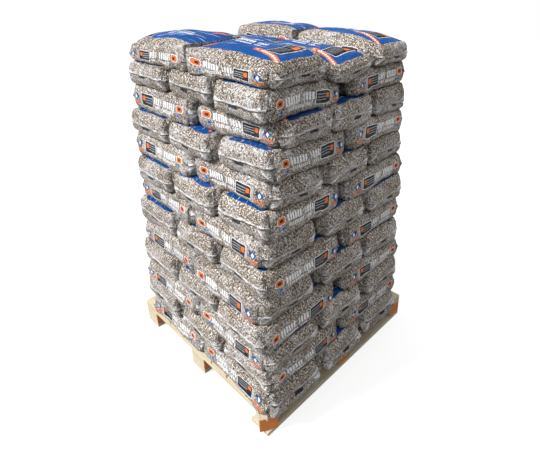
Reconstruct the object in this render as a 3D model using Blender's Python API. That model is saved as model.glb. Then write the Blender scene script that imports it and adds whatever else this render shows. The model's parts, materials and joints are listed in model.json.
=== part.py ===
"""A pallet of sacks: thirteen layers of six film sacks of wood pellets on a nine-block pine pallet.

Metres, +Z up. The pallet's front faces -Y. The origin is on the floor, in the middle of the
whole footprint. Sacks of one layer are pressed together, so each layer up to the twelfth is
one solid with the joints between its sacks drawn into its sides. The six top sacks are separate.
"""

import math

import bmesh
import bpy
from mathutils import Vector

# Left open between pieces that touch
GAP = 0.0003

# The pallet, measured from its own middle
PALLET_SIDE = 1.140
BOARD_THICK = 0.022
RUNNER_WIDTH = 0.120
STRINGER_WIDTH = 0.100
BLOCK_LONG = 0.118
BLOCK_WIDE = 0.090
BLOCK_TALL = 0.078
DECK_WIDTHS = (0.133, 0.144, 0.1375, 0.1375, 0.119, 0.123, 0.145, 0.145)
SAWN_EDGE = 0.002
# The near corner block has turned on its nail
TURNED_BLOCK = ("right", "front")
TURNED_BY = math.radians(-30)

# The stack: odd layers from the floor have two sacks along X and three along Y, even ones the reverse
LAYERS = 13
LAYER_THIN = 0.1175
MIDDLE_SWELL = 0.0075
TWO_LONG = (1.057, 1.018)
THREE_WIDE = (1.032, 0.970)
STACK_X = (0.063, 0.057)
STACK_Y = (-0.056, -0.014)

# How a pressed sack's skin rounds over at its corners: along the sack, across it and upwards
ROUND_LONG = 0.060
ROUND_WIDE = 0.043
ROUND_TALL = 0.046
# Its underside is pressed in, and the joints go deeper at a layer's foot and top
UNDERSIDE_IN = 0.012
JOINT_DEEPER = 0.2
SKIN_ANGLES = [math.radians(angle) for angle in (-75, -40, 0, 40, 75)]
CORNER_ANGLES = [math.radians(angle) for angle in (90, 60, 30, 0)]
JOINT_ANGLES = [math.radians(angle) for angle in (0, 35, 70)]

# The top sacks' rounded edges, and how far each one swells above them, by column and row
TOP_ROUND = 0.044
TOP_SWELL = {
    (0, 0): 0.047,
    (1, 0): 0.012,
    (0, 1): 0.014,
    (1, 1): 0.008,
    (0, 2): 0.058,
    (1, 2): 0.044,
}

COLUMNS = ("left", "middle", "right")
ROWS = ("front", "centre", "back")
DECK_TOP = 3 * BOARD_THICK + BLOCK_TALL


def clear_scene():
    for item in list(bpy.data.objects):
        bpy.data.objects.remove(item, do_unlink=True)


def material(name, colour, roughness):
    finish = bpy.data.materials.new(name)
    finish.use_nodes = True
    shader = finish.node_tree.nodes["Principled BSDF"]
    shader.inputs["Base Color"].default_value = (*colour, 1.0)
    shader.inputs["Roughness"].default_value = roughness
    shader.inputs["Metallic"].default_value = 0.0
    return finish


def add_object(name, shape, finish, place=(0, 0, 0), turn=0.0):
    mesh = bpy.data.meshes.new(name)
    shape.to_mesh(mesh)
    shape.free()
    mesh.materials.append(finish)
    item = bpy.data.objects.new(name, mesh)
    item.location = place
    item.rotation_euler = (0, 0, turn)
    bpy.context.collection.objects.link(item)
    return item


# Pallet

def sawn_piece(name, finish, middle, size, bottom, turn=0.0):
    """A board or block with its sharp edges taken off. Its top stays a gap below what lies on it."""
    tall = size[2] - GAP
    shape = bmesh.new()
    bmesh.ops.create_cube(shape, size=1.0)
    bmesh.ops.scale(shape, vec=(size[0], size[1], tall), verts=shape.verts)
    bmesh.ops.bevel(
        shape,
        geom=shape.edges[:],
        offset=SAWN_EDGE,
        segments=1,
        profile=0.5,
        affect="EDGES",
        material=-1,
    )
    return add_object(name, shape, finish, (middle[0], middle[1], bottom + tall / 2), turn)


def row_places(width):
    """The middles of three pieces: one flush with each side of the pallet and one between."""
    reach = (PALLET_SIDE - width) / 2
    return (-reach, 0.0, reach)


def add_runners(finish):
    for side, x in zip(COLUMNS, row_places(RUNNER_WIDTH)):
        sawn_piece(f"bottom_runner_{side}", finish, (x, 0), (RUNNER_WIDTH, PALLET_SIDE, BOARD_THICK), 0.0)


def add_blocks(finish):
    size = (BLOCK_LONG, BLOCK_WIDE, BLOCK_TALL)
    for side, x in zip(COLUMNS, row_places(BLOCK_LONG)):
        for row, y in zip(ROWS, row_places(BLOCK_WIDE)):
            turn = TURNED_BY if (side, row) == TURNED_BLOCK else 0.0
            sawn_piece(f"block_{side}_{row}", finish, (x, y), size, BOARD_THICK, turn)


def add_stringers(finish):
    size = (PALLET_SIDE, STRINGER_WIDTH, BOARD_THICK)
    for row, y in zip(ROWS, row_places(STRINGER_WIDTH)):
        sawn_piece(f"stringer_{row}", finish, (0, y), size, BOARD_THICK + BLOCK_TALL)


def add_deck(finish):
    spacing = (PALLET_SIDE - sum(DECK_WIDTHS)) / (len(DECK_WIDTHS) - 1)
    left = -PALLET_SIDE / 2
    for number, width in enumerate(DECK_WIDTHS, start=1):
        size = (width, PALLET_SIDE, BOARD_THICK)
        sawn_piece(f"deck_board_{number}", finish, (left + width / 2, 0), size, DECK_TOP - BOARD_THICK)
        left += width + spacing


# Sacks

def between(ends, share):
    """The value part of the way from the stack's foot to its top."""
    return ends[0] + (ends[1] - ends[0]) * share


def layer_height(layer):
    """Layers in the middle of the stack are a little fuller than the pressed ones at its foot."""
    return LAYER_THIN + MIDDLE_SWELL * math.sin(math.pi * (layer - 0.5) / LAYERS)


def layer_box(layer):
    """The lowest and highest corners of a layer, counted from the floor."""
    bottom = DECK_TOP + sum(layer_height(n) for n in range(1, layer))
    top = bottom + layer_height(layer)
    share = (bottom + top - 2 * DECK_TOP) / (2 * sum(layer_height(n) for n in range(1, LAYERS + 1)))
    long_half = between(TWO_LONG, share) / 2
    wide_half = between(THREE_WIDE, share) / 2
    across = (long_half, wide_half) if layer % 2 else (wide_half, long_half)
    x = between(STACK_X, share)
    y = between(STACK_Y, share)
    low = Vector((x - across[0], y - across[1], bottom))
    high = Vector((x + across[0], y + across[1], top - GAP))
    return low, high


def layer_cells(layer):
    """How many sacks a layer has along X and along Y."""
    return (2, 3) if layer % 2 else (3, 2)


def joint_lines(low, high, cells):
    return [low + (high - low) * n / cells for n in range(1, cells)]


def skin_level(low, high, angle):
    """The height of one turn around a layer's skin, and the part of its full roundness there."""
    middle = (low.z + high.z) / 2
    flat = (high.z - low.z) / 2 - ROUND_TALL
    rise = math.sin(angle) / math.sin(SKIN_ANGLES[-1])
    above = (angle > 0) - (angle < 0)
    return middle + above * flat + rise * ROUND_TALL, math.cos(angle)


def face_turn(corner, tangent, normal, rounds, joints, reach):
    """The skin's points along one side of a layer: round its first corner, then in and out at each joint."""
    round_along = abs(rounds.dot(tangent))
    round_in = abs(rounds.dot(normal))

    def point(place, way, angle):
        """A point of the rounding beside a place on the side, on the way along it or back."""
        along = place + way * round_along * (1 - reach * math.sin(angle))
        inward = round_in * (1 - reach * math.cos(angle))
        return corner + tangent * along - normal * inward

    turn = [point(0, 1, angle) for angle in CORNER_ANGLES]
    for joint in joints:
        depth = round_in * (1 + JOINT_DEEPER * (1 - reach))
        turn += [point(joint, -1, angle) for angle in JOINT_ANGLES]
        turn.append(corner + tangent * joint - normal * depth)
        turn += [point(joint, 1, angle) for angle in reversed(JOINT_ANGLES)]
    return turn


def skin_turn(low, high, cells, angle):
    """One turn around a layer's skin, from its front left corner and anticlockwise seen from above."""
    height, reach = skin_level(low, high, angle)
    taper = UNDERSIDE_IN * max(-math.sin(angle), 0.0)
    near = Vector((low.x + taper, low.y + taper, height))
    far = Vector((high.x - taper, high.y - taper, height))
    x_joints = joint_lines(low.x, high.x, cells[0])
    y_joints = joint_lines(low.y, high.y, cells[1])
    rounds = Vector((ROUND_LONG, ROUND_WIDE, 0) if cells[0] == 2 else (ROUND_WIDE, ROUND_LONG, 0))
    right = Vector((1, 0, 0))
    back = Vector((0, 1, 0))
    front_right = Vector((far.x, near.y, height))
    back_left = Vector((near.x, far.y, height))
    turn = face_turn(near, right, -back, rounds, [x - near.x for x in x_joints], reach)
    turn += face_turn(front_right, back, right, rounds, [y - near.y for y in y_joints], reach)
    turn += face_turn(far, -right, back, rounds, [far.x - x for x in reversed(x_joints)], reach)
    turn += face_turn(back_left, -back, -right, rounds, [far.y - y for y in reversed(y_joints)], reach)
    return turn


def layer_skin(low, high, cells):
    """A layer's closed skin, stretched over turns from its foot to its top."""
    shape = bmesh.new()
    turns = [[shape.verts.new(spot) for spot in skin_turn(low, high, cells, angle)] for angle in SKIN_ANGLES]
    for lower, upper in zip(turns, turns[1:]):
        for n in range(len(lower)):
            shape.faces.new((lower[n - 1], lower[n], upper[n], upper[n - 1]))
    shape.faces.new(list(reversed(turns[0])))
    shape.faces.new(turns[-1])
    return shape


def cut_box(low, high, extra):
    """A box whose faces are cut along the lines where a sack's skin bends."""
    shape = bmesh.new()
    bmesh.ops.create_cube(shape, size=1.0)
    bmesh.ops.scale(shape, vec=high - low, verts=shape.verts)
    bmesh.ops.translate(shape, vec=(high + low) / 2, verts=shape.verts)
    for axis in range(3):
        inner = (*extra, 0)[axis]
        normal = Vector([float(axis == n) for n in range(3)])
        flat = high[axis] - low[axis] - 2 * TOP_ROUND
        for n in range(inner + 2):
            place = low[axis] + TOP_ROUND + flat * n / (inner + 1)
            geometry = shape.verts[:] + shape.edges[:] + shape.faces[:]
            bmesh.ops.bisect_plane(shape, geom=geometry, plane_co=normal * place, plane_no=normal)
    return shape


def round_over(shape, low, high):
    """Rounds the box's outer edges and corners like a filled sack's."""
    reach = Vector((TOP_ROUND, TOP_ROUND, TOP_ROUND))
    inner_low = low + reach
    inner_high = high - reach
    for vert in shape.verts:
        inside = Vector([min(max(vert.co[n], inner_low[n]), inner_high[n]) for n in range(3)])
        out = vert.co - inside
        if out.length > TOP_ROUND:
            vert.co = inside + out.normalized() * TOP_ROUND


def swell_top(shape, low, high, swell):
    """Lifts a top sack's upper skin into a crown."""
    middle = (low + high) / 2
    half = (high - low) / 2
    for vert in shape.verts:
        if vert.co.z > middle.z:
            across = (vert.co.x - middle.x) / half.x
            along = (vert.co.y - middle.y) / half.y
            rise = (vert.co.z - middle.z) / half.z
            vert.co.z += swell * rise * (1 - across**2) * (1 - along**2)


def add_layers(finish):
    for layer in range(1, LAYERS):
        low, high = layer_box(layer)
        shape = layer_skin(low, high, layer_cells(layer))
        add_object(f"sack_layer_{layer:02d}", shape, finish)


def add_top_sacks(finish):
    low, high = layer_box(LAYERS)
    cells = layer_cells(LAYERS)
    step = Vector(((high.x - low.x) / cells[0], (high.y - low.y) / cells[1], high.z - low.z))
    for (column, row), swell in TOP_SWELL.items():
        corner = low + Vector((column * step.x, row * step.y, 0))
        opposite = corner + step - Vector((GAP, GAP, 0))
        shape = cut_box(corner, opposite, (3, 2))
        round_over(shape, corner, opposite)
        swell_top(shape, corner, opposite, swell)
        add_object(f"top_sack_{COLUMNS[2 * column]}_{ROWS[row]}", shape, finish)


def centre_footprint():
    """Slides everything so that the origin is in the middle of the whole footprint."""
    bpy.context.view_layer.update()
    corners = [item.matrix_world @ Vector(corner) for item in bpy.data.objects for corner in item.bound_box]
    for axis in range(2):
        places = [corner[axis] for corner in corners]
        shift = (min(places) + max(places)) / 2
        for item in bpy.data.objects:
            item.location[axis] -= shift


def build():
    clear_scene()
    pine = material("pallet_pine", (0.72, 0.56, 0.36), 0.7)
    film = material("sack_film", (0.42, 0.34, 0.27), 0.35)
    add_runners(pine)
    add_blocks(pine)
    add_stringers(pine)
    add_deck(pine)
    add_layers(film)
    add_top_sacks(film)
    centre_footprint()


build()
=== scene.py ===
"""The looks of a pallet of sacks: film sacks of wood pellets in thirteen crossed layers on pine.

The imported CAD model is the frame. Its pallet keeps its own solids and gets its wood here, and
every sack is a blown film skin that replaces the plain solid of its layer.
"""

import json
import math
import random

import bmesh
import bpy
from mathutils import Matrix, Vector, noise

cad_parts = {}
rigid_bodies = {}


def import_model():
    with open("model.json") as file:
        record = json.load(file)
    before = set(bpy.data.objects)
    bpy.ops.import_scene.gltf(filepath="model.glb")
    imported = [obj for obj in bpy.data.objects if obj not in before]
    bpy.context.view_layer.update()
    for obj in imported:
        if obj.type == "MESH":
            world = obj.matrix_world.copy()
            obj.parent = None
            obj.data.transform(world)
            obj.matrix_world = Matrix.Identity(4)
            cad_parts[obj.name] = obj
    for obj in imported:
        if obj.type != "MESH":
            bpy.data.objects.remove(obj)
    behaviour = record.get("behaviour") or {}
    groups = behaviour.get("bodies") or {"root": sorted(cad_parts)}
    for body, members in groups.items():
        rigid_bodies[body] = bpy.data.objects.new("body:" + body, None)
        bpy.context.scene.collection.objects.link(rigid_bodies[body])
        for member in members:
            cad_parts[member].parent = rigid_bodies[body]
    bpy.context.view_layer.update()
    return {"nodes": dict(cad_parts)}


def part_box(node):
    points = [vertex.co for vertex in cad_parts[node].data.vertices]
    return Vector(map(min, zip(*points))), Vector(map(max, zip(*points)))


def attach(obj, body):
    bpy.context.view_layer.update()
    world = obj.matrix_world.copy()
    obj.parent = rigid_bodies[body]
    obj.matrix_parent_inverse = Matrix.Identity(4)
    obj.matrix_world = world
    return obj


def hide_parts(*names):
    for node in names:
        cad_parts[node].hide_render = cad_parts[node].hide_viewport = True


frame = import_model()


# Camera
# It stands off the stack's near corner at the photograph's place and angle, at the height of a
# person's eyes, and looks down on the top sacks.
EYE = (1.5585, -1.3789, 1.8204)
LOOK_DOWN = math.radians(21.11)
LOOK_LEFT = math.radians(43.23)
LENS = 26.647
FRAME_SHIFT = (-0.0628, -0.1019)


def new_object(name, data):
    """A mesh, light or camera put into the scene."""
    made = bpy.data.objects.new(name, data)
    bpy.context.collection.objects.link(made)
    return made


camera = new_object("camera", bpy.data.cameras.new("camera"))
camera.location = EYE
camera.rotation_euler = (math.pi / 2 - LOOK_DOWN, 0.0, LOOK_LEFT)
camera.data.sensor_width = 36.0
camera.data.lens = LENS
camera.data.shift_x, camera.data.shift_y = FRAME_SHIFT
bpy.context.scene.camera = camera


# Studio
# A plain pale floor with white all round, a large soft key light high on the left in front of
# the stack, and a weak sky, brightest overhead, so that the right-hand side is in open shade.
FLOOR_SIDE = 60.0
FLOOR_COLOUR = (0.32, 0.32, 0.32)
FLOOR_GLOW = 0.80
SKY_LOW = 0.15
SKY_HIGH = 1.0
KEY_STRENGTH = 4.75
KEY_TOWARDS = (0.38, 0.70, -0.68)
KEY_SPREAD = math.radians(16)


class Wire:
    """One socket of a material's nodes. Sums on it add Math nodes, and node() adds any other kind."""

    def __init__(self, tree, socket=None):
        self.tree = tree
        self.socket = socket

    def node(self, kind, settings=(), plugs=(), out=0):
        made = self.tree.nodes.new("ShaderNode" + kind)
        for name, value in dict(settings).items():
            if name == "stops":
                set_stops(made.color_ramp, value)
            else:
                setattr(made, name, value)
        for name, value in dict(plugs).items():
            if isinstance(value, Wire):
                self.tree.links.new(value.socket, made.inputs[name])
            else:
                made.inputs[name].default_value = value
        return Wire(self.tree, made.outputs[out])

    def sum(self, operation, *terms):
        return self.node("Math", {"operation": operation}, enumerate(terms))

    def __add__(self, other):
        return self.sum("ADD", self, other)

    __radd__ = __add__

    def __sub__(self, other):
        return self.sum("SUBTRACT", self, other)

    def __rsub__(self, other):
        return self.sum("SUBTRACT", other, self)

    def __mul__(self, other):
        return self.sum("MULTIPLY", self, other)

    __rmul__ = __mul__

    def __truediv__(self, other):
        return self.sum("DIVIDE", self, other)

    def __pow__(self, other):
        return self.sum("POWER", self, other)

    def __abs__(self):
        return self.sum("ABSOLUTE", self)

    def high(self, other):
        return self.sum("MAXIMUM", self, other)

    def other(self, out):
        """Another output of the same node."""
        return Wire(self.tree, self.socket.node.outputs[out])

    def held(self):
        """Kept between 0 and 1."""
        return self.node("Clamp", {}, {"Value": self})

    def rise(self, start, end):
        """0 below start, 1 above end, and a smooth step between."""
        plugs = {"Value": self, "From Min": start, "From Max": end}
        return self.node("MapRange", {"interpolation_type": "SMOOTHSTEP"}, plugs)

    def axis(self, name):
        """One of the three numbers of this place or direction."""
        return self.node("SeparateXYZ", {}, {"Vector": self}, name)

    def scaled(self, by):
        """This place scaled by a number of its own each way."""
        return self.node("VectorMath", {"operation": "MULTIPLY"}, {0: self, 1: by})

    def pattern(self, **plugs):
        """This place, for a pattern that lies turned and drawn out."""
        return self.node("Mapping", {"vector_type": "TEXTURE"}, {"Vector": self, **plugs})

    def cloud(self, scale, detail=2.0, roughness=0.5, distortion=0.0):
        """Soft noise over this place, from 0 to 1."""
        plugs = {"Vector": self, "Scale": scale, "Detail": detail, "Roughness": roughness}
        return self.node("TexNoise", {}, {**plugs, "Distortion": distortion}, "Fac")

    def red(self):
        return self.node("SeparateColor", {}, {"Color": self})

    def grey(self):
        """The grey that is as light as this number."""
        return self.node("CombineColor", {}, {"Red": self, "Green": self, "Blue": self})


def set_stops(ramp, stops):
    while len(ramp.elements) > 1:
        ramp.elements.remove(ramp.elements[-1])
    ramp.elements[0].position = stops[0][0]
    ramp.elements[0].color = (*stops[0][1], 1.0)
    for place, colour in stops[1:]:
        ramp.elements.new(place).color = (*colour, 1.0)


def blend_colours(start, mask, under, top, mode="MIX"):
    """A colour Mix node, which lays the top colour over the under one where the mask is 1."""
    factor, first, second, result = 0, 6, 7, 2
    under = under if isinstance(under, Wire) else (*under, 1.0)
    top = top if isinstance(top, Wire) else (*top, 1.0)
    settings = {"data_type": "RGBA", "blend_type": mode}
    return start.node("Mix", settings, {factor: mask, first: under, second: top}, result)


def new_finish(name):
    """An empty material: the wire that starts its nodes, and its principled shader."""
    finish = bpy.data.materials.new(name)
    finish.use_nodes = True
    shader = finish.node_tree.nodes["Principled BSDF"]
    return finish, Wire(finish.node_tree), shader


def plug(start, shader, **sockets):
    """Links or sets sockets of the principled shader, with _ for each space in a name."""
    for name, value in sockets.items():
        socket = shader.inputs[name.replace("_", " ")]
        if isinstance(value, Wire):
            start.tree.links.new(value.socket, socket)
        else:
            socket.default_value = value


def object_place(start):
    """Metres along X, Y and Z, from the middle of the footprint on the floor."""
    return start.node("TexCoord", out="Object")


def mesh_of(name, shape):
    """The mesh that a finished bmesh leaves behind."""
    mesh = bpy.data.meshes.new(name)
    shape.to_mesh(mesh)
    shape.free()
    return mesh


floor_shape = bmesh.new()
bmesh.ops.create_grid(floor_shape, x_segments=1, y_segments=1, size=FLOOR_SIDE / 2)
floor = new_object("studio_floor", mesh_of("studio_floor", floor_shape))
floor_finish, floor_start, floor_shader = new_finish("studio_floor")
floor_glow = floor_start.node("LightPath", out="Is Camera Ray") * FLOOR_GLOW
plug(floor_start, floor_shader, Base_Color=(*FLOOR_COLOUR, 1.0), Roughness=0.9)
plug(floor_start, floor_shader, Emission_Color=floor_glow.grey(), Emission_Strength=1.0)
floor.data.materials.append(floor_finish)

sky = bpy.data.worlds.new("studio_white")
sky.use_nodes = True
sky_start = Wire(sky.node_tree)
seen_white = sky_start.node("LightPath", out="Is Camera Ray")
sky_light = sky.node_tree.nodes["Background"]
sky_light.inputs["Color"].default_value = (1.0, 1.0, 1.0, 1.0)
sky_way = sky_start.node("TexCoord", out="Generated")
sky_up = sky_way.axis("Z").held()
sky_strength = seen_white.high(sky_up * (SKY_HIGH - SKY_LOW) + SKY_LOW)
sky.node_tree.links.new(sky_strength.socket, sky_light.inputs["Strength"])
bpy.context.scene.world = sky
bpy.context.scene.view_settings.view_transform = "Standard"

key = new_object("key_light", bpy.data.lights.new("key_light", "SUN"))
key.data.energy = KEY_STRENGTH
key.data.angle = KEY_SPREAD
key.rotation_euler = Vector(KEY_TOWARDS).to_track_quat("-Z", "Y").to_euler()


# Pallet wood
# Rough-sawn pine, never planed or painted: boards nailed across blocks. Its long faces are pale
# cream with brown growth lines and knots, and the blocks' sawn ends are soaked orange by resin.
PALE_PINE = (0.60, 0.545, 0.415)
GROWTH_LINE = (0.47, 0.36, 0.21)
KNOT_BROWN = (0.24, 0.11, 0.045)
BOARD_END = (0.62, 0.50, 0.32)
BLOCK_END = (0.74, 0.24, 0.050)
WEATHERED = (0.62, 0.52, 0.38)
BOARD_BRIGHTNESS = (0.90, 1.06)
# How fine the grain, the fibres and the saw's marks are, along the board, across it and up
GRAIN_STRETCH = (1.3, 24.0, 24.0)
FIBRE_STRETCH = (14.0, 420.0, 420.0)
SAW_STRETCH = (312.5, 30.0, 30.0)
# One cell of this size may hold a knot, and does where its luck is past the chance
KNOT_SPACING = (0.34, 0.10, 0.10)
KNOT_CHANCE = (0.62, 0.64)
KNOT_EDGE = (0.055, 0.10)
KNOT_SWIRL = (0.05, 0.34)
RINGS = 46.0
RINGS_ROUND_KNOTS = 9.0
END_RINGS = 38.0
LOT_RANGE = 9.0
WOOD_SEED = 40


def pine_finish(name, grain_turn, end_colour, seed):
    """Pine whose grain runs along X once the piece is turned back by grain_turn."""
    luck = random.Random(seed)
    finish, start, shader = new_finish(name)
    lot = [luck.uniform(-LOT_RANGE, LOT_RANGE) for _ in range(3)]
    turned = object_place(start).pattern(Rotation=(0.0, 0.0, grain_turn))
    place = start.node("Mapping", {}, {"Vector": turned, "Location": lot})
    cells = {"Vector": place.pattern(Scale=KNOT_SPACING), "Scale": 1.0}
    knot_near = start.node("TexVoronoi", {}, cells, "Distance")
    chosen = knot_near.other("Color").red().rise(*KNOT_CHANCE)
    knot = (1.0 - knot_near.rise(*KNOT_EDGE)) * chosen
    swirl = (1.0 - knot_near.rise(*KNOT_SWIRL)) * chosen
    bands = place.scaled(GRAIN_STRETCH).cloud(1.0, detail=2.5, distortion=0.5)
    rings = start.sum("SINE", bands * RINGS + swirl * RINGS_ROUND_KNOTS) * 0.5 + 0.5
    fibre = place.scaled(FIBRE_STRETCH).cloud(1.0, detail=3.0)
    weather = place.cloud(4.0, detail=3.0).rise(0.35, 0.75) * 0.22

    bright = luck.uniform(*BOARD_BRIGHTNESS)
    pale = [part * bright for part in PALE_PINE]
    long_face = blend_colours(start, rings.rise(0.55, 1.0) * 0.55, pale, GROWTH_LINE)
    long_face = blend_colours(start, fibre.rise(0.45, 0.75) * 0.35, long_face, GROWTH_LINE)
    long_face = blend_colours(start, knot, long_face, KNOT_BROWN)
    facing = start.node(
        "VectorRotate",
        {"rotation_type": "Z_AXIS"},
        {"Vector": start.node("TexCoord", out="Normal"), "Angle": -grain_turn},
    )
    at_end = abs(facing.axis("X")).rise(0.6, 0.8)
    year_rings = start.node(
        "TexWave",
        {"wave_type": "RINGS", "rings_direction": "X"},
        {"Vector": place, "Scale": END_RINGS, "Distortion": 2.5, "Detail": 2.0},
        "Fac",
    )
    dark_end = [part * 0.72 for part in end_colour]
    dark_rings = year_rings.rise(0.3, 0.9) * 0.45 + fibre * 0.2
    end_face = blend_colours(start, dark_rings, end_colour, dark_end)
    colour = blend_colours(start, at_end, long_face, end_face)
    colour = blend_colours(start, weather, colour, WEATHERED, "MULTIPLY")

    saw = place.scaled(SAW_STRETCH).cloud(1.0, detail=1.0)
    height = fibre * 0.6 + saw * 0.3 + rings * 0.25 - knot * 0.4
    bump = start.node("Bump", {}, {"Height": height, "Distance": 0.0012, "Strength": 0.7}, "Normal")
    plug(start, shader, Base_Color=colour, Roughness=0.62 + fibre * 0.25, Normal=bump)
    return finish


ALONG_X = 0.0
ALONG_Y = math.pi / 2
TURNED_BLOCK = "block_right_front"
TURNED_BY = math.radians(-30)

for number, node in enumerate(sorted(frame["nodes"])):
    if node.startswith(("sack_layer", "top_sack")):
        continue
    is_block = node.startswith("block")
    turn = ALONG_Y if node.startswith(("deck_board", "bottom_runner")) else ALONG_X
    turn = TURNED_BY if node == TURNED_BLOCK else turn
    wood = pine_finish(f"pine_{node}", turn, BLOCK_END if is_block else BOARD_END, WOOD_SEED + number)
    for slot in bpy.data.objects[node].material_slots:
        slot.material = wood


# Nails
# Flat-headed ring nails, driven two by two through each deck board into the stringers and
# through the runners into the blocks, with their heads just proud of the wood.
NAIL_HEAD = 0.0045
NAIL_HEAD_SIDES = 14
NAIL_RIM = 0.72
NAIL_PROUD = 0.0011
NAIL_SEAT = 0.0012
NAIL_IN_FROM_EDGE = 0.032
DECK_BOARDS = 8
# How far the nails stray along a deck board and along a runner
DECK_STRAY = 0.022
RUNNER_STRAY = 0.018
# Deck nails are made where they show, and this far in under the sacks
UNDER_SACKS = 0.02
NAIL_STEEL = (0.36, 0.35, 0.34)
NAIL_RUST = (0.30, 0.20, 0.13)


def nail_heads(places, seat, facing):
    """Joined nail heads: a low disc with its rim taken off, sunk a little into the board."""
    heads = bmesh.new()
    for x, y in places:
        made = bmesh.ops.create_cone(
            heads,
            cap_ends=True,
            segments=NAIL_HEAD_SIDES,
            radius1=NAIL_HEAD,
            radius2=NAIL_HEAD * NAIL_RIM,
            depth=NAIL_PROUD + NAIL_SEAT,
        )
        middle = seat + facing * (NAIL_PROUD - NAIL_SEAT) / 2
        if facing < 0:
            bmesh.ops.rotate(heads, verts=made["verts"], matrix=Matrix.Rotation(math.pi, 3, "X"))
        bmesh.ops.translate(heads, verts=made["verts"], vec=(x, y, middle))
    return heads


def nail_lines(low, high):
    """Two places across a board, in from its long edges."""
    inset = min(NAIL_IN_FROM_EDGE, (high - low) * 0.3)
    return (low + inset, high - inset)


deck_places = []
runner_places = []
nail_luck = random.Random(7)
stack_low, stack_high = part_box("sack_layer_01")
for stringer in ("stringer_front", "stringer_centre", "stringer_back"):
    low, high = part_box(stringer)
    for board in range(1, DECK_BOARDS + 1):
        board_low, board_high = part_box(f"deck_board_{board}")
        for x in nail_lines(board_low[0], board_high[0]):
            y = (low[1] + high[1]) / 2 + nail_luck.uniform(-DECK_STRAY, DECK_STRAY)
            if x < stack_low[0] + UNDER_SACKS or y > stack_high[1] - UNDER_SACKS:
                deck_places.append((x, y))
for side in ("left", "middle", "right"):
    runner_low, runner_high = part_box(f"bottom_runner_{side}")
    for row in ("front", "centre", "back"):
        low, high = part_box(f"block_{side}_{row}")
        for x in nail_lines(runner_low[0], runner_high[0]):
            y = (low[1] + high[1]) / 2 + nail_luck.uniform(-RUNNER_STRAY, RUNNER_STRAY)
            runner_places.append((x, y))

deck_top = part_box("deck_board_1")[1][2]
nails = nail_heads(deck_places, deck_top, 1)
# Under the runners the heads are sunk, so that the pallet stands on its wood
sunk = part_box("bottom_runner_left")[0][2] + 2 * NAIL_PROUD
under_mesh = mesh_of("nails_under", nail_heads(runner_places, sunk, -1))
nails.from_mesh(under_mesh)
bpy.data.meshes.remove(under_mesh)
nail_piece = new_object("nail_heads", mesh_of("nail_heads", nails))
steel, steel_start, steel_shader = new_finish("nail_steel")
tarnish = object_place(steel_start).cloud(260.0)
steel_colour = blend_colours(steel_start, tarnish.rise(0.4, 0.7), NAIL_STEEL, NAIL_RUST)
plug(steel_start, steel_shader, Base_Color=steel_colour, Metallic=0.8, Roughness=0.35 + tarnish * 0.3)
nail_piece.data.materials.append(steel)
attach(nail_piece, "root")


# Film and pellets
# Clear polyethylene film drawn tight over six-millimetre wood pellets. The pellets lie every way
# behind it, grey-brown to cream, with painted shade in the hollows between them and painted glints on
# the palest. The film adds gloss, milky creases that are partly painted glints, painted shade in its
# fold grooves and painted highlights on their ridges, and a printed skin.
PELLET_LONG = 0.0135
PELLET_WIDE = 0.0043
PELLET_JUMBLE = 0.9
PELLET_TURNS = ((0.5, 0.7, 0.2), (1.2, -0.8, 1.3), (-0.6, 0.4, 2.3))
# The pellets' random tones run from grey-brown to cream; the two near-white stops at the top are
# painted glints of the film over the palest pellets
PELLET_TONES_AND_GLINTS = (
    (0.0, (0.065, 0.041, 0.025)),
    (0.30, (0.262, 0.186, 0.122)),
    (0.58, (0.58, 0.470, 0.355)),
    (0.85, (0.96, 0.93, 0.89)),
    (1.0, (1.0, 0.98, 0.96)),
)
# Painted shade in the hollows between the pellets, from this height of the heap down, in this brown
GAP_SHADE_HEIGHTS = (0.50, 0.76)
GAP_SHADE_BROWN = (0.032, 0.020, 0.012)
# Milky white of the film, also laid on its creases as painted glints
FILM_MILK_AND_GLINT = (0.81, 0.81, 0.84)
# Painted shade in the grooves of the film's folds
GROOVE_SHADE = (0.055, 0.040, 0.032)
FILM_SHINE = 0.28
PRINTED_SHINE = 0.03
SEAL_CLEAR = (0.27, 0.23, 0.19)
SEAL_MILK = (0.68, 0.68, 0.73)
CREASE_SIZE = 0.055
# Folds to a metre along a sack and up it, and how far they lean
WRINKLE_STRETCH = (135.0, 34.0, 1.0)
WRINKLE_LEAN = (0.0, 0.0, 0.5)


def pellet_wires(start):
    """The colour and the height of pellets heaped in three directions, the highest one showing. The
    colour holds painted shade in the hollows between the pellets and painted glints on the palest.
    """
    place = object_place(start)
    height = None
    for turn in PELLET_TURNS:
        lying = place.pattern(Rotation=turn, Scale=(PELLET_LONG, PELLET_WIDE, PELLET_WIDE))
        pellets = {"Vector": lying, "Scale": 1.0, "Randomness": PELLET_JUMBLE}
        cell = start.node("TexVoronoi", {}, pellets, "Distance")
        shade = cell.other("Color").red()
        crown = 1.0 - cell
        if height is None:
            height, tone = crown, shade
            continue
        on_top = start.sum("GREATER_THAN", crown, height)
        tone = shade * on_top + tone * (1.0 - on_top)
        height = height.high(crown)
    colour = start.node("ValToRGB", {"stops": PELLET_TONES_AND_GLINTS}, {"Fac": tone})
    # Painted shade in the hollows between the pellets
    gap_shade = 1.0 - height.rise(*GAP_SHADE_HEIGHTS)
    return blend_colours(start, gap_shade * 0.93, colour, GAP_SHADE_BROWN), height


def written(start, name):
    """The number that is written at each point of a sack under this name."""
    return start.node("Attribute", {"attribute_name": name}, {}, "Fac")


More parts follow.
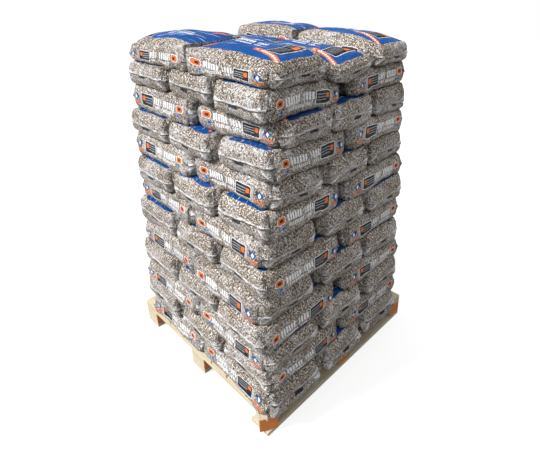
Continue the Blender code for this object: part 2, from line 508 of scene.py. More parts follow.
def film_over(start, shader, colour, height, printed, wrinkled, shine=FILM_SHINE):
    """The film's own part: milky creases over the colour, partly whitened film and partly painted
    glints, painted highlights on fold ridges and painted shade in fold grooves, gloss, and the bump of
    pellets and folds.
    """
    place = object_place(start)
    folds = place.cloud(1 / CREASE_SIZE, detail=3.0, roughness=0.6, distortion=1.4)
    crease = (1.0 - abs(folds * 2.0 - 1.0) * 5.0).held() ** 2.0
    # Milky creases: partly whitened film, partly painted glints of the light on it
    milk_and_glint = 0.02 + crease * place.cloud(7.0).rise(0.42, 0.68) * 0.60
    ridge_glint, groove_shade = wrinkles(start)
    # Fold ridges add a painted highlight to the milk, and fold grooves get painted shade
    milk_and_glint = milk_and_glint.high(ridge_glint * wrinkled * 0.42)
    colour = blend_colours(start, groove_shade * wrinkled * 0.88, colour, GROOVE_SHADE)
    colour = blend_colours(start, 1.0, colour, written(start, "tone").grey(), "MULTIPLY")
    colour = blend_colours(start, milk_and_glint * (1.0 - printed * 0.85), colour, FILM_MILK_AND_GLINT)
    bump = start.node(
        "Bump",
        {},
        {
            "Height": height * 0.55 + crease * 0.8 + folds * 1.5 + ridge_glint * wrinkled * 1.6,
            "Distance": 0.0035,
            "Strength": 0.8,
        },
        "Normal",
    )
    gloss = 0.24 + height * 0.16 + (1.0 - crease) * 0.05
    plug(start, shader, Base_Color=colour, Roughness=gloss, Normal=bump, Specular_IOR_Level=shine)


def wrinkles(start):
    """The upright folds of film drawn in at a sack's corners: masks for a painted highlight on their
    ridges and painted shade in their grooves.
    """
    place = start.node("UVMap", {"uv_map": "print"})
    leaning = {"Vector": place.scaled(WRINKLE_STRETCH), "Rotation": WRINKLE_LEAN}
    fold = start.node("Mapping", {}, leaning).cloud(1.0, distortion=0.8)
    return fold.rise(0.57, 0.66), 1.0 - fold.rise(0.36, 0.48)


def patch(across, up, middle, half, corner, soft=0.0008):
    """A printed patch with round corners, as a mask of 1 inside it."""
    out_across = (abs(across - middle[0]) - (half[0] - corner)).high(0.0)
    out_up = (abs(up - middle[1]) - (half[1] - corner)).high(0.0)
    reach = (out_across * out_across + out_up * out_up) ** 0.5
    return 1.0 - reach.rise(corner - soft, corner + soft)


def bars(start, across, up, middle, half, pitch, filled, lean=0.0):
    """A row of plain upright bars with a few left out."""
    slid = across + up * lean
    part = start.sum("FRACT", slid / pitch)
    number = start.sum("FLOOR", slid / pitch)
    luck = start.node("TexWhiteNoise", {"noise_dimensions": "1D"}, {"W": number}, "Value")
    standing = (1.0 - part.rise(filled - 0.06, filled)) * luck.rise(0.07, 0.08)
    return standing * patch(across, up, middle, half, 0.002)


def print_places(start):
    """Metres across and up the film, from its own map."""
    across = start.node("UVMap", {"uv_map": "print"}).axis("X")
    return across, across.other("Y")


PRINT_BLUE = (0.003, 0.072, 0.29)
PRINT_PALE_BLUE = (0.17, 0.34, 0.62)
PRINT_ORANGE = (0.80, 0.17, 0.020)
PRINT_WHITE = (0.90, 0.91, 0.94)
PRINT_BLACK = (0.008, 0.008, 0.010)
PRINT_GREY = (0.42, 0.43, 0.46)
# Where the round-cornered badge and the dark panel stand on a long side: along the sack and up it
BADGE_AT = (-0.180, 0.009)
SIDE_PANEL_AT = (0.082, 0.000)


def lay_prints(start, colour, prints):
    """Inks laid over a colour in turn, and the mask of all that is printed."""
    covered = None
    for ink, mask in prints:
        colour = blend_colours(start, mask, colour, ink)
        covered = mask if covered is None else covered.high(mask)
    return colour, covered


def side_film():
    """The long sides carry a strip of marks: a badge, two rows of bars, a panel and a diamond."""
    finish, start, shader = new_finish("film_side")
    colour, height = pellet_wires(start)
    along, up = print_places(start)
    badge_rim = patch(along, up, BADGE_AT, (0.0225, 0.0165), 0.012)
    badge = patch(along, up, BADGE_AT, (0.0195, 0.0140), 0.010)
    badge_core = patch(along, up, BADGE_AT, (0.0095, 0.0060), 0.003)
    tall_bars = bars(start, along, up, (-0.060, 0.009), (0.088, 0.0150), 0.0158, 0.66, 0.14)
    small_bars = bars(start, along, up, (-0.058, -0.020), (0.076, 0.0070), 0.0112, 0.62, 0.10)
    panel_rim = patch(along, up, SIDE_PANEL_AT, (0.049, 0.0290), 0.006)
    panel = patch(along, up, SIDE_PANEL_AT, (0.046, 0.0262), 0.005)
    stripes = bars(start, up, along, (0.002, 0.070), (0.020, 0.028), 0.0118, 0.30)
    slant = abs(along - 0.178) + abs(up - 0.005) * 1.15
    core_slant = abs(along - 0.181) + abs(up - 0.004) * 0.8
    diamond = 1.0 - slant.rise(0.0215, 0.0235)
    diamond_core = 1.0 - core_slant.rise(0.0085, 0.0105)
    prints = (
        (PRINT_WHITE, badge_rim),
        (PRINT_ORANGE, badge),
        (PRINT_BLACK, badge_core),
        (PRINT_PALE_BLUE, patch(along, up, (-0.172, -0.021), (0.0105, 0.0075), 0.006)),
        (PRINT_BLUE, patch(along, up, (-0.169, -0.022), (0.0065, 0.0045), 0.003)),
        (PRINT_WHITE, tall_bars),
        (PRINT_WHITE, small_bars * 0.85),
        (PRINT_WHITE, panel_rim),
        (PRINT_BLACK, panel),
        (PRINT_GREY, stripes),
        (PRINT_ORANGE, patch(along, up, (0.110, 0.006), (0.010, 0.011), 0.003)),
        (PRINT_GREY, patch(along, up, (0.140, 0.000), (0.006, 0.026), 0.002)),
        (PRINT_BLUE, diamond),
        (PRINT_WHITE, diamond_core),
        (PRINT_BLACK, patch(along, up, (0.164, 0.012), (0.005, 0.008), 0.003)),
        (PRINT_ORANGE, patch(along, up + along * 0.12, (0.178, -0.003), (0.030, 0.0048), 0.002)),
    )
    printed_colour, covered = lay_prints(start, colour, prints)
    crumpled = written(start, "crumpled")
    colour = blend_colours(start, crumpled, printed_colour, colour)
    covered = covered * (1.0 - crumpled)
    at_end = along.rise(0.200, 0.216).high((0.0 - along).rise(0.205, 0.225)).high(crumpled)
    film_over(start, shader, colour, height, covered, at_end)
    return finish


def top_film():
    """The upper faces carry a blue field with bars, a dark panel and an orange band, and pale strokes
    and white flecks on the field as painted glints of the sky on the film.
    """
    finish, start, shader = new_finish("film_top")
    colour, height = pellet_wires(start)
    along, across = print_places(start)
    field = patch(along, across, (-0.002, 0.002), (0.230, 0.118), 0.030)
    slanted = {"X": along * 5.0 + across * 9.0, "Y": across * 70.0 - along * 30.0}
    # Pale-blue strokes and white flecks over the blue field are painted glints of the sky on the film
    glint_strokes = start.node("CombineXYZ", {}, slanted).cloud(1.0)
    sky_glint_strokes = glint_strokes.rise(0.52, 0.70) * patch(along, across, (-0.06, 0.02), (0.12, 0.07), 0.04, 0.02)
    sky_glint_flecks = glint_strokes.rise(0.60, 0.66) * patch(along, across, (-0.02, 0.03), (0.20, 0.08), 0.04, 0.02)
    long_bars = bars(start, along, across, (-0.070, 0.050), (0.085, 0.012), 0.0150, 0.72, 0.15)
    short_bars = bars(start, along, across, (-0.060, 0.014), (0.070, 0.008), 0.0125, 0.72, 0.15)
    tab = patch(along - across * 0.6, across, (-0.130, -0.078), (0.008, 0.022), 0.004) * field
    arch = across + along * along * 1.4
    band = patch(along, arch, (0.142, -0.040), (0.105, 0.0155), 0.009) * field
    band_bars = bars(start, along, arch, (0.137, -0.040), (0.088, 0.0060), 0.016, 0.68)
    panel_rim = patch(along, across, (0.130, 0.036), (0.045, 0.079), 0.006)
    panel = patch(along, across, (0.130, 0.036), (0.042, 0.076), 0.005)
    panel_bars = bars(start, across, along, (0.032, 0.124), (0.062, 0.026), 0.0150, 0.24)
    prints = (
        (PRINT_BLUE, field),
        (PRINT_PALE_BLUE, sky_glint_strokes * 0.8),
        (PRINT_WHITE, sky_glint_flecks * 0.75),
        (PRINT_WHITE, long_bars),
        (PRINT_WHITE, short_bars),
        (PRINT_ORANGE, tab),
        (PRINT_ORANGE, band),
        (PRINT_WHITE, band_bars),
        (PRINT_WHITE, panel_rim),
        (PRINT_BLACK, panel),
        (PRINT_GREY, panel_bars),
        (PRINT_ORANGE, patch(along, across, (0.148, 0.080), (0.013, 0.022), 0.004)),
    )
    colour, covered = lay_prints(start, colour, prints)
    film_over(start, shader, colour, height, covered, 0.0, PRINTED_SHINE)
    return finish


def end_film():
    """The ends are bare but for one dark mark, and milky at the corners, where film lies double."""
    finish, start, shader = new_finish("film_end")
    colour, height = pellet_wires(start)
    across, up = print_places(start)
    rag = object_place(start).cloud(45.0)
    ragged = (rag - 0.5) * 0.012
    lip = 1.0 - abs(up).rise(0.002, 0.007)
    ear_size = written(start, "ear")
    has_ear = ear_size.rise(0.1, 0.4)
    ear_start = 0.105 - ear_size * 0.034
    ear = (across - ear_start - abs(up) * 2.6 + ragged).rise(0.0, 0.012) * rag.rise(0.30, 0.44)
    ear = ear * has_ear
    fold = (across + 0.100) * 0.72 - up * 0.69 + ragged
    fold_line = (1.0 - abs(fold).rise(0.0020, 0.0060)) * up.rise(0.0, -0.006)
    fold_flap = (1.0 - fold.rise(-0.006, 0.0)) * up.rise(0.0, -0.010)
    upper = (across + 0.120) * 0.80 + up * 0.60 + ragged
    upper_line = (1.0 - abs(upper).rise(0.001, 0.005)) * up.rise(0.0, 0.006)
    milk_and_glint = (lip * (rag.rise(0.30, 0.62) * 0.45 + 0.36)).high(ear * 0.95)
    milk_and_glint = milk_and_glint.high(fold_line * 0.70).high(fold_flap * 0.22).high(upper_line * 0.4)
    prints = (
        (PRINT_GREY, patch(across, up, (0.020, -0.034), (0.024, 0.014), 0.004) * 0.35),
        (PRINT_BLACK, patch(across, up, (0.017, -0.0125), (0.026, 0.0065), 0.0015)),
    )
    colour, covered = lay_prints(start, colour, prints)
    colour = blend_colours(start, milk_and_glint * (1.0 - covered), colour, FILM_MILK_AND_GLINT)
    at_corner = abs(across).rise(0.122, 0.138).high(1.0 - has_ear) * (1.0 - ear)
    film_over(start, shader, colour, height, covered, at_corner)
    return finish


def seal_film():
    """Two skins of film welded flat: clouded white, and a little crumpled."""
    finish, start, shader = new_finish("film_seal")
    cloud = object_place(start).cloud(34.0, detail=4.0)
    colour = blend_colours(start, cloud.rise(0.40, 0.66), SEAL_CLEAR, SEAL_MILK)
    bump = start.node("Bump", {}, {"Height": cloud, "Distance": 0.003, "Strength": 0.6}, "Normal")
    plug(start, shader, Base_Color=colour, Roughness=0.25 + cloud * 0.2, Normal=bump)
    return finish


FILMS = [top_film(), side_film(), end_film(), seal_film()]
TOP_FACE, SIDE_FACE, END_FACE, SEAL_FACE = range(4)


# One filled sack
# A pillow of film: a tube filled through its end, welded flat across both ends, with the
# surplus of the corners sticking out as small ears. It is blown out by a cloth simulation.
SACK_HALF = Vector((0.260, 0.170, 0.060))
SACK_CUTS = (43, 27, 12)
# A place on the film's map that no print reaches
OFF_PRINT = (9.0, 9.0)
# How much the rows of the film's mesh crowd to its edges, and the share of its height left at the seam
CROWDING = 0.30
SEAM_ROW = 0.02
# How each upright corner rounds off: along the sack, across it and up it, and how full its plan is
CORNER_ROUNDS = {
    (-1, -1): Vector((0.058, 0.046, 0.044, 1.35)),
    (-1, 1): Vector((0.056, 0.040, 0.044, 1.7)),
    (1, -1): Vector((0.078, 0.060, 0.046, 1.35)),
    (1, 1): Vector((0.064, 0.046, 0.046, 1.55)),
}
BOXINESS = 3.0
# How far the faces slope in from the seam, and how full the seam's corners are in plan
FACE_SLOPE = Vector((0.013, 0.004))
EAR_CORNER_FULL = 0.36
FOLD_CORNER_FULL = 0.25
# Lumps, fine waves and corner pleats of the film before it is blown out
LUMP_SIZE = 9.0
LUMP = (0.004, 0.005)
FINE_SIZE = 34.0
FINE_WAVE = 0.0022
PLEAT_WIDE = 75.0
PLEAT_HIGH = 16.0
CRINKLE = 0.0060
BLOW_PRESSURE = 4.0
BLOW_FRAMES = 20
BLOW_CAP = 0.010
# The weld's width, how far its ears stick out, and the length of seam that each ear takes up
SEAL_DEEP = 0.004
EAR_REACH = 0.010
EAR_ROOT = 0.034
LONG_EARS = (0.8, 1.0, 1.2)
SHORT_EARS = (0.1, 0.35)
EAR_TILT = (-0.014, 0.006)
SHAPES = 4
NOISE_SEED = 3

# Without a seed, Blender starts its noise vectors from the clock, and no two runs give the same sacks
noise.seed_set(NOISE_SEED)


def smooth_step(value, start, end):
    part = min(max((value - start) / (end - start), 0.0), 1.0)
    return part * part * (3 - 2 * part)


def sack_blank():
    """A cube cut into rows, with its film map and the faces of its regions marked."""
    blank = bmesh.new()
    bmesh.ops.create_cube(blank, size=2.0)
    for axis, cuts in enumerate(SACK_CUTS):
        spans = {edge: edge.verts[0].co[axis] - edge.verts[1].co[axis] for edge in blank.edges}
        lines = [edge for edge, span in spans.items() if abs(span) > 0.1]
        bmesh.ops.subdivide_edges(blank, edges=lines, cuts=cuts, use_grid_fill=True)
    blank.normal_update()
    film_map = blank.loops.layers.uv.new("print")
    first_row = 1 / (SACK_CUTS[2] + 1)
    for face in blank.faces:
        face.smooth = True
        axis = max(range(3), key=lambda n: abs(face.normal[n]))
        middle = face.calc_center_median()
        face.material_index = (END_FACE, SIDE_FACE, TOP_FACE)[axis]
        if axis == 2 and middle.z < 0:
            face.material_index = END_FACE
        at_end = abs(crowd(middle.x)) * SACK_HALF.x > SACK_HALF.x - EAR_ROOT
        if at_end and abs(middle.z) < first_row / 2:
            face.material_index = SEAL_FACE
        for loop in face.loops:
            point = box_place(loop.vert.co)
            spots = ((point.y, point.z), (point.x, point.z), (point.x, point.y))
            loop[film_map].uv = spots[axis] if axis < 2 or middle.z > 0 else OFF_PRINT
    return blank


def crowd(share):
    """Draws the rows closer together towards the edges, where the film bends."""
    return share * (1 + CROWDING) - CROWDING * share**3


def box_place(share):
    """A point of the cube in metres, with a thin row left along the seam."""
    first = 1 / (SACK_CUTS[2] + 1)
    up = SEAM_ROW + (abs(share.z) - first) / (1 - first) * (1 - SEAM_ROW)
    return Vector(
        (
            crowd(share.x) * SACK_HALF.x,
            crowd(share.y) * SACK_HALF.y,
            math.copysign(max(up, 0.0), share.z) * SACK_HALF.z,
        )
    )


def pillow_place(share):
    """The same point on the filled sack: round edges, wedge ends, and corners full at the seam."""
    point = box_place(share)
    to_closed = smooth_step(point.x / SACK_HALF.x, -0.5, 0.5)
    to_ear = smooth_step(point.y / SACK_HALF.y, -0.5, 0.5)
    both = [CORNER_ROUNDS[end, -1].lerp(CORNER_ROUNDS[end, 1], to_ear) for end in (-1, 1)]
    rounds = both[0].lerp(both[1], to_closed)
    plan = rounds[3]
    spans = [SACK_HALF[n] - rounds[n] for n in range(3)]
    inside = Vector([min(max(point[n], -spans[n]), spans[n]) for n in range(3)])
    out = Vector([(point[n] - inside[n]) / rounds[n] for n in range(3)])
    flat_reach = (abs(out.x) ** plan + abs(out.y) ** plan) ** (1 / plan)
    reach = (flat_reach**BOXINESS + abs(out.z) ** BOXINESS) ** (1 / BOXINESS)
    if reach > 1:
        out /= reach
    soft = inside + Vector([out[n] * rounds[n] for n in range(3)])
    height = abs(point.z) / SACK_HALF.z
    ends = smooth_step(abs(point.x) / SACK_HALF.x, 0.80, 1.0)
    sides = smooth_step(abs(point.y) / SACK_HALF.y, 0.72, 1.0)
    ear_full = EAR_CORNER_FULL * (1 - height) ** 3
    fold_full = FOLD_CORNER_FULL * (1 - height) ** 6
    full = (fold_full + (ear_full - fold_full) * to_ear) * ends * sides
    soft.x += (point.x - soft.x) * full
    soft.y += (point.y - soft.y) * full
    lower = height if point.z < 0 else height * 0.35
    soft.x -= math.copysign(FACE_SLOPE.x * lower * ends, point.x)
    soft.y -= math.copysign(FACE_SLOPE.y * lower * sides, point.y)
    return soft


def blown_mesh(seed):
    """The pillow blown out as cloth, so that its film bellies and creases, and its seals."""
    blank = sack_blank()
    drift = Vector((seed * 3.7, seed * 1.9, seed * 5.3))
    for vert in blank.verts:
        share = vert.co.copy()
        vert.co = pillow_place(share)
        lump = noise.noise_vector(vert.co * LUMP_SIZE + drift)
        fine = noise.noise_vector(vert.co * FINE_SIZE + drift)
        at_corner = smooth_step(abs(share.x), 0.62, 0.9) * smooth_step(abs(share.y), 0.7, 0.95)
        upright = Vector((vert.co.x * PLEAT_WIDE, vert.co.y * PLEAT_WIDE, vert.co.z * PLEAT_HIGH))
        pleat = noise.noise(upright + drift)
        vert.co += Vector((lump.x * LUMP[0], lump.y * LUMP[1], 0.0)) + fine * FINE_WAVE
        inward = Vector((vert.co.x, vert.co.y * 1.5, 0.0)).normalized()
        vert.co -= inward * abs(pleat) * CRINKLE * 2 * at_corner
    skin = mesh_of(f"sack_skin_{seed}", blank)
    skin = blow_out(skin)
    shape = bmesh.new()
    shape.from_mesh(skin)
    draw_seals(shape, seed)
    shape.to_mesh(skin)
    shape.free()
    return skin


def blow_out(skin):
    """Some frames of cloth under pressure, with no point moved further than the cap."""
    sack = new_object("blowing", skin)
    cloth = sack.modifiers.new("film", "CLOTH")
    cloth.settings.quality = 5
    cloth.settings.mass = 0.15
    cloth.settings.tension_stiffness = 12.0
    cloth.settings.compression_stiffness = 4.0
    cloth.settings.shear_stiffness = 4.0
    cloth.settings.bending_stiffness = 0.02
    cloth.settings.shrink_min = -0.035
    cloth.settings.use_pressure = True
    cloth.settings.uniform_pressure_force = BLOW_PRESSURE
    cloth.settings.effector_weights.gravity = 0.0
    cloth.collision_settings.use_collision = False
    cloth.point_cache.frame_start = 1
    cloth.point_cache.frame_end = BLOW_FRAMES
    for number in range(1, BLOW_FRAMES + 1):
        bpy.context.scene.frame_set(number)
    view = bpy.context.evaluated_depsgraph_get()
    result = sack.evaluated_get(view)
    blown = bpy.data.meshes.new_from_object(result, preserve_all_data_layers=True, depsgraph=view)
    for before, after in zip(skin.vertices, blown.vertices):
        moved = after.co - before.co
        if moved.length > BLOW_CAP:
            after.co = before.co + moved.normalized() * BLOW_CAP
    bpy.data.objects.remove(sack, do_unlink=True)
    bpy.context.scene.frame_set(1)
    return blown


def draw_seals(shape, seed):
    """Draws the seam row out as a flat weld, longest at the corners, where it makes the ears."""
    luck = random.Random(seed)
    ears = {}
    for corner in ((-1, -1), (-1, 1), (1, -1), (1, 1)):
        ears[corner] = luck.choice(LONG_EARS if corner[1] > 0 else SHORT_EARS)
    tilts = {corner: luck.uniform(*EAR_TILT) for corner in ears}
    row = [face for face in shape.faces if face.material_index == SEAL_FACE]
    drawn = bmesh.ops.extrude_face_region(shape, geom=row)
    for vert in (item for item in drawn["geom"] if isinstance(item, bmesh.types.BMVert)):
        side_x = 1 if vert.co.x > 0 else -1
        side_y = 1 if vert.co.y > 0 else -1
        to_corner = smooth_step(abs(vert.co.y), SACK_HALF.y - EAR_ROOT, SACK_HALF.y)
        to_end = smooth_step(abs(vert.co.x), SACK_HALF.x - EAR_ROOT, SACK_HALF.x - 0.004)
        ear = ears[side_x, side_y] * to_corner * to_end
        wave = noise.noise(vert.co * 30.0 + Vector((seed, 0.0, 0.0)))
        vert.co.x += side_x * to_end * (SEAL_DEEP * (0.8 + 0.5 * wave) + ear * EAR_REACH * 0.35)
        vert.co.y += side_y * ear * EAR_REACH
        vert.co.z += wave * 0.006 * (0.4 + ear) + tilts[side_x, side_y] * ear
    for face in (item for item in drawn["geom"] if isinstance(item, bmesh.types.BMFace)):
        for edge in face.edges:
            for beside in edge.link_faces:
                beside.material_index = SEAL_FACE
    for face in shape.faces:
        face.smooth = True


sack_shapes = [blown_mesh(seed) for seed in range(1, SHAPES + 1)]


# The stack
# Thirteen layers of six sacks laid by hand, each layer crossed over the one below. Sacks press
# flat on each other, sag into the joints underneath, and the top six swell up freely.

# How much a level between layers waves, ripples, sinks at the stack's rim and sags into a joint
WAVE = 0.0065
WAVE_SIZE = 3.4
RIPPLE = 0.002
RIPPLE_SIZE = 9.0
RIM_SAG = 0.005
RIM_WIDTH = 0.10
JOINT_SAG = 0.014
JOINT_WIDTH = 0.026
# The air between sacks, and how far each lies out of its cell and turned
TOUCH = 0.0004
SHIFT_OUT = 0.009
TWIST = math.radians(1.6)
# How far the bottom sacks droop over the edges of the deck
DROOP = 0.026
# How far the film bellies on the sacks' sides and on the top ones' roofs, and how fine the bellies are
BELLY = 0.007
TOP_BELLY = 0.010
BELLY_WIDE = 6.0
BELLY_HIGH = 9.0
# How far layers and the sacks at the near corner sit out of line, in millimetres
LAYER_OFF = {1: (5, -10), 3: (0, -5), 4: (5, -10), 5: (0, -10), 7: (-5, 0), 9: (-5, 10), 11: (5, 20)}
NEAR_OFF = {1: 10, 2: 15, 5: -10, 7: -10, 9: 5, 10: 10, 11: 15}
# How far a level stands above its plain height at the near, left and right corners, in millimetres
UNEVEN = {
    1: (5, 0, 10),
    2: (-10, 10, 5),
    3: (-20, 0, 20),
    4: (-10, 15, -10),
    5: (0, 15, 15),
    6: (0, 30, 5),
    7: (-5, 15, 30),
    8: (15, 20, 10),
    9: (10, 25, 10),
    10: (10, 15, 0),
    11: (-15, 30, 10),
    12: (-15, 10, 5),
}
# How much wider than their cells the sacks lie, so that their round sides meet
SPREAD = 1.028
# How far the left-hand sacks of a layer reach out past the others, in millimetres
LEFT_OUT = {2: 30, 4: 30, 5: 10, 6: 30, 7: 8, 8: 14, 9: 16, 10: 26, 11: 18, 12: 12}
# Where one level dips over a gaping joint: across, deep, how wide and how far down
DIPS = {12: (0.52, -0.03, 0.15, 0.038)}
# The filled ends of sacks along X are pressed together in the middle joint, and squared up there
FILLED_END_PRESS = 0.040
FILLED_END_FIRM = 0.70
# Sacks whose shift across and back, and turn, aren't left to chance
SET_BY_HAND = {
    (1, 1, 0): (-0.004, 0.004, math.radians(-2.2)),
    (1, 0, 0): (-0.004, 0.014, math.radians(0.5)),
    (9, 0, 0): (-0.002, -0.015, 0.0),
    (11, 0, 0): (0.002, -0.028, 0.0),
    (13, 0, 0): (-0.004, -0.012, math.radians(0.8)),
    (13, 1, 0): (0.002, -0.009, math.radians(0.4)),
    (13, 0, 2): (-0.020, 0.000, math.radians(0.5)),
    (13, 1, 2): (0.018, 0.004, 0.0),
    (7, 1, 2): (0.012, 0.004, 0.0),
    (3, 1, 2): (0.008, 0.004, 0.0),
}
# How far the top of the stack leans at its near, left and right corners
LEAN_NEAR = Vector((0.020, 0.031, -0.024))
LEAN_LEFT = Vector((0.008, 0.014, 0.000))
LEAN_RIGHT = Vector((-0.040, -0.026, 0.005))
# How flat the load above presses the feet of a layer's sacks
PRESS_LOW = {1: 0.85, 2: 0.45, 3: 0.40}
PRESS_ELSEWHERE = 0.12
# The seam's height on a sack's ends, as a share of half its height, and its slant
SEAM_DROP = (-0.22, 0.10)
SEAM_TILT = 0.12
SEAM_WAVE = 0.10
# How much lighter or darker than the others a sack may be
TONES = (-0.10, 0.06)
NO_WALL = 9.0
# The heights of each top sack at its four corners, left to right and front to back, and its swell
TOP_CORNERS = {
    (0, 0): (1.700, 1.712, 1.722, 1.722, 0.040),
    (1, 0): (1.698, 1.656, 1.718, 1.688, 0.027),
    (0, 1): (1.710, 1.720, 1.696, 1.700, 0.020),
    (1, 1): (1.695, 1.618, 1.694, 1.656, 0.031),
    (0, 2): (1.760, 1.745, 1.762, 1.745, 0.032),
    (1, 2): (1.733, 1.692, 1.743, 1.706, 0.036),
}
# How far the inner ends of the top sacks are squared up
TOP_INNER_FULL = 0.85
# Where film crumples on the side that a sack turns to its neighbour: along it, and out from its middle
FLANK_FROM = (0.135, 0.160)
FLANK_SIDE = (0.10, 0.13)
FILLED_EAR = 0.5
COLUMN_NAMES = ("left", "middle", "right")
ROW_NAMES = ("front", "centre", "back")
LAYERS = 13
NO_DIP = (0.0, 0.0, 1.0, 0.0)

cells_of = {layer: (2, 3) if layer % 2 else (3, 2) for layer in range(1, LAYERS + 1)}


def layer_nodes(layer):
    """The CAD nodes of a layer, by the sack's column and row."""
    columns, rows = cells_of[layer]
    cells = [(column, row) for column in range(columns) for row in range(rows)]
    if layer < LAYERS:
        return {cell: f"sack_layer_{layer:02d}" for cell in cells}
    return {(c, r): f"top_sack_{COLUMN_NAMES[2 * c]}_{ROW_NAMES[r]}" for c, r in cells}


def layer_limits(layer):
    """The low and the high corner of the box round a layer's solids."""
    boxes = [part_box(node) for node in set(layer_nodes(layer).values())]
    low = Vector([min(box[0][n] for box in boxes) for n in range(3)])
    high = Vector([max(box[1][n] for box in boxes) for n in range(3)])
    return low, high


limits = {layer: layer_limits(layer) for layer in cells_of}
levels = [deck_top] + [limits[layer + 1][0].z for layer in range(1, LAYERS)]
levels.append(levels[-1] + levels[-1] - levels[-2])
deck_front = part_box("deck_board_8")[0][1]
deck_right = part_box("deck_board_8")[1][0]


def joints_of(layer, axis):
    """Where the joints between a layer's sacks run, on one axis."""
    low, high = limits[layer]
    count = cells_of[layer][axis]
    return [low[axis] + (high[axis] - low[axis]) * n / count for n in range(1, count)]


joints = {layer: (joints_of(layer, 0), joints_of(layer, 1)) for layer in limits}


def into_joint(layer, x, y):
    """1 over a joint between two sacks of a layer, falling to 0 beside it."""
    if layer not in joints:
        return 0.0
    near = min(abs(place - line) for place, lines in zip((x, y), joints[layer]) for line in lines)
    return math.exp(-((near / JOINT_WIDTH) ** 2))


def stack_share(x, y):
    """How far across and how deep in the stack's footprint a place is, each from 0 to 1."""
    low, high = limits[1]
    across = min(max((x - low.x) / (high.x - low.x), 0.0), 1.0)
    deep = min(max((y - low.y) / (high.y - low.y), 0.0), 1.0)
    return across, deep


def meeting(level, x, y):
    """The height at which the layers below and above a level meet."""
    if level == 0:
        return levels[0]
    wave = noise.noise(Vector((x * WAVE_SIZE, y * WAVE_SIZE, level * 2.37)))
    ripple = noise.noise(Vector((x * RIPPLE_SIZE, y * RIPPLE_SIZE, level * 5.11 + 40.0)))
    low, high = limits[level]
    rim = min(x - low.x, high.x - x, y - low.y, high.y - y)
    sag = RIM_SAG * (1 - smooth_step(rim, 0.0, RIM_WIDTH))
    across, deep = stack_share(x, y)
    near, left, right = UNEVEN.get(level, (0, 0, 0))
    uneven = near * (across * (1 - deep)) ** 2 + left * ((1 - across) * (1 - deep)) ** 2
    uneven += right * (across * deep) ** 2
    dip_x, dip_y, dip_wide, dip_deep = DIPS.get(level, NO_DIP)
    dip = dip_deep * math.exp(-((x - dip_x) ** 2 + (y - dip_y) ** 2) / dip_wide**2)
    return levels[level] + WAVE * wave + RIPPLE * ripple - sag + uneven / 1000 - dip


def settle(place):
    """The whole stack leans and slumps a little: most at its top, and differently at each corner."""
    across, deep = stack_share(place.x, place.y)
    up = min(max((place.z - levels[0]) / (levels[-1] - levels[0]), 0.0), 1.1) ** 2
    lean = LEAN_NEAR * (across * (1 - deep)) + LEAN_LEFT * ((1 - across) * (1 - deep))
    return place + (lean + LEAN_RIGHT * (across * deep)) * up


def pressed_out(value, half, press):
    """Pushes a rounded foot back out to the sack's full width, as the weight above does."""
    gain = (half - abs(value)) * press * smooth_step(abs(value), half * 0.70, half * 0.92)
    return value + math.copysign(gain, value)


def top_roof(x, y, middle, size, cell):
    """The free upper skin of a top sack: level between its four corners, and swollen above that."""
    across = min(max((x - middle.x) / size.x + 0.5, 0.0), 1.0)
    deep = min(max((y - middle.y) / size.y + 0.5, 0.0), 1.0)
    front_left, front_right, back_left, back_right, swell = TOP_CORNERS[cell]
    front = front_left + (front_right - front_left) * across
    back = back_left + (back_right - back_left) * across
    dome = swell * (1 - (2 * across - 1) ** 4) * (1 - (2 * deep - 1) ** 4)
    leaning = settle(Vector((x, y, levels[-1]))).z - levels[-1]
    return front + (back - front) * deep + dome - leaning


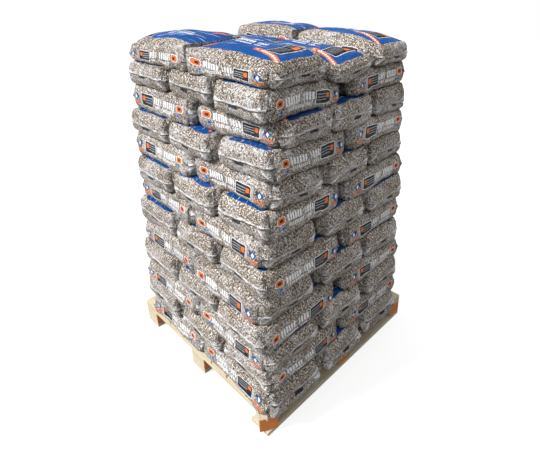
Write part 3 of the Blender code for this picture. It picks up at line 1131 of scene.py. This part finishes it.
def lay_sack(layer, cell, node, number):
    """One sack of the stack: a blown shape set in its cell, turned, pressed and sagged into place."""
    luck = random.Random(layer * 100 + number)
    low, high = limits[layer]
    counts = cells_of[layer]
    size = Vector([(high[n] - low[n]) / counts[n] for n in range(2)])
    corner = Vector([low[n] + size[n] * cell[n] for n in range(2)])
    middle = corner + size / 2
    along_x = counts[0] == 2
    if along_x:
        yaw = math.pi if cell[0] == 0 else 0.0
    else:
        yaw = math.pi / 2 if cell[1] == 0 else -math.pi / 2
    length, width = (size.x, size.y) if along_x else (size.y, size.x)
    reach = Vector((length * SPREAD / 2 - SEAL_DEEP * 0.5, width * SPREAD / 2))
    twist = luck.uniform(-TWIST, TWIST)
    shift = Vector((luck.uniform(-1, 1) * SHIFT_OUT, luck.uniform(-1, 1) * SHIFT_OUT))
    if (layer, *cell) in SET_BY_HAND:
        shift.x, shift.y, twist = SET_BY_HAND[layer, *cell]
    if cell == (counts[0] - 1, 0):
        off = NEAR_OFF.get(layer, 0) / 1000
        shift += Vector((off / 2, off))
        reach[0 if along_x else 1] += off / 2
    if cell[0] == 0:
        out = LEFT_OUT.get(layer, 0) / 1000
        shift.x -= out / 2
        reach[0 if along_x else 1] += out / 2
    stretch = (reach.x / SACK_HALF.x, reach.y / SACK_HALF.y)
    turn = Matrix.Rotation(yaw + twist, 2)
    moved = Vector(LAYER_OFF.get(layer, (0, 0))) / 1000
    own = Vector((layer * 1.7, number * 2.9, 0.0))
    press = PRESS_LOW.get(layer, PRESS_ELSEWHERE)
    seam_drop = luck.uniform(*SEAM_DROP)
    seam_tilt = luck.uniform(-SEAM_TILT, SEAM_TILT)
    walls = [
        (
            corner[axis] * SPREAD + TOUCH if cell[axis] > 0 else -NO_WALL,
            (corner[axis] + size[axis]) * SPREAD - TOUCH if cell[axis] < counts[axis] - 1 else NO_WALL,
        )
        for axis in range(2)
    ]

    mesh = sack_shapes[(layer * 3 + number * 5 + layer // 2) % SHAPES].copy()
    in_joint = along_x and (cell[1] > 0 if cell[0] else cell[1] < counts[1] - 1)
    closed_ear = 1.0 if along_x else 0.0
    crumples = []
    ears = []
    for vert in mesh.vertices:
        local = vert.co
        flank = smooth_step(local.x, *FLANK_FROM) * smooth_step(-local.y, *FLANK_SIDE)
        crumples.append(flank if in_joint else 0.0)
        ears.append(closed_ear if local.x > 0 else FILLED_EAR)
        share = min(max(local.z / SACK_HALF.z, -1.0), 1.0)
        firm = press * smooth_step(-share, 0.0, 0.5)
        if along_x and local.x < 0:
            seen_side = smooth_step(-local.y / SACK_HALF.y, -0.5, 0.5)
            to_joint = smooth_step(-local.x / SACK_HALF.x, 0.5, 0.8)
            firm = max(firm, FILLED_END_FIRM * to_joint * (0.4 + 0.6 * seen_side))
            local.x *= 1 + FILLED_END_PRESS
        if firm > 0:
            local.x = pressed_out(local.x, SACK_HALF.x, firm)
            local.y = pressed_out(local.y, SACK_HALF.y, firm)
        if layer == LAYERS and local.x < 0:
            local.x = pressed_out(local.x, SACK_HALF.x, TOP_INNER_FULL)
        flat = turn @ Vector((local.x * stretch[0], local.y * stretch[1]))
        x = middle.x * SPREAD + shift.x + flat.x
        y = middle.y * SPREAD + shift.y + flat.y
        bulge = Vector((x * BELLY_WIDE, y * BELLY_WIDE, local.z * BELLY_HIGH))
        belly = noise.noise_vector(bulge + own)
        edge = max(abs(local.x) / SACK_HALF.x, abs(local.y) / SACK_HALF.y)
        x += belly.x * BELLY * edge
        y += belly.y * BELLY * edge
        x = min(max(x, walls[0][0]), walls[0][1]) + moved.x
        y = min(max(y, walls[1][0]), walls[1][1]) + moved.y
        slope = seam_drop + seam_tilt * local.y / SACK_HALF.y + SEAM_WAVE * belly.z
        share += slope * (1 - share * share)
        floor_z = meeting(layer - 1, x, y) + TOUCH
        if layer > 1:
            floor_z -= JOINT_SAG * into_joint(layer - 1, x, y) * max(-share, 0.0)
        if layer < LAYERS:
            roof_z = meeting(layer, x, y) - TOUCH
            roof_z += JOINT_SAG * 0.5 * into_joint(layer + 1, x, y) * max(share, 0.0)
        else:
            roof_z = top_roof(x - moved.x, y - moved.y, middle, size, cell) + belly.z * TOP_BELLY
        z = floor_z + (roof_z - floor_z) * (share + 1) / 2
        if layer == 1:
            over = smooth_step(x, deck_right + 0.001, deck_right + 0.016)
            at_near = 0.3 + 0.6 * smooth_step(x, 0.30, 0.50)
            over = max(over, at_near * smooth_step(-y, 0.001 - deck_front, 0.014 - deck_front))
            z -= DROOP * over * (1 - smooth_step(share, -0.9, 0.8))
        vert.co = settle(Vector((x, y, z)))

    for film in FILMS:
        mesh.materials.append(film)
    tones = [1.0 + luck.uniform(*TONES)] * len(mesh.vertices)
    for name, values in (("tone", tones), ("crumpled", crumples), ("ear", ears)):
        mesh.attributes.new(name, "FLOAT", "POINT").data.foreach_set("value", values)
    sack = new_object(f"sack_{layer:02d}_{number + 1}", mesh)
    mesh.name = sack.name
    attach(sack, "root")
    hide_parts(node)


for layer in range(1, LAYERS + 1):
    for number, (cell, node) in enumerate(sorted(layer_nodes(layer).items())):
        lay_sack(layer, cell, node, number)
for shape in sack_shapes:
    bpy.data.meshes.remove(shape)
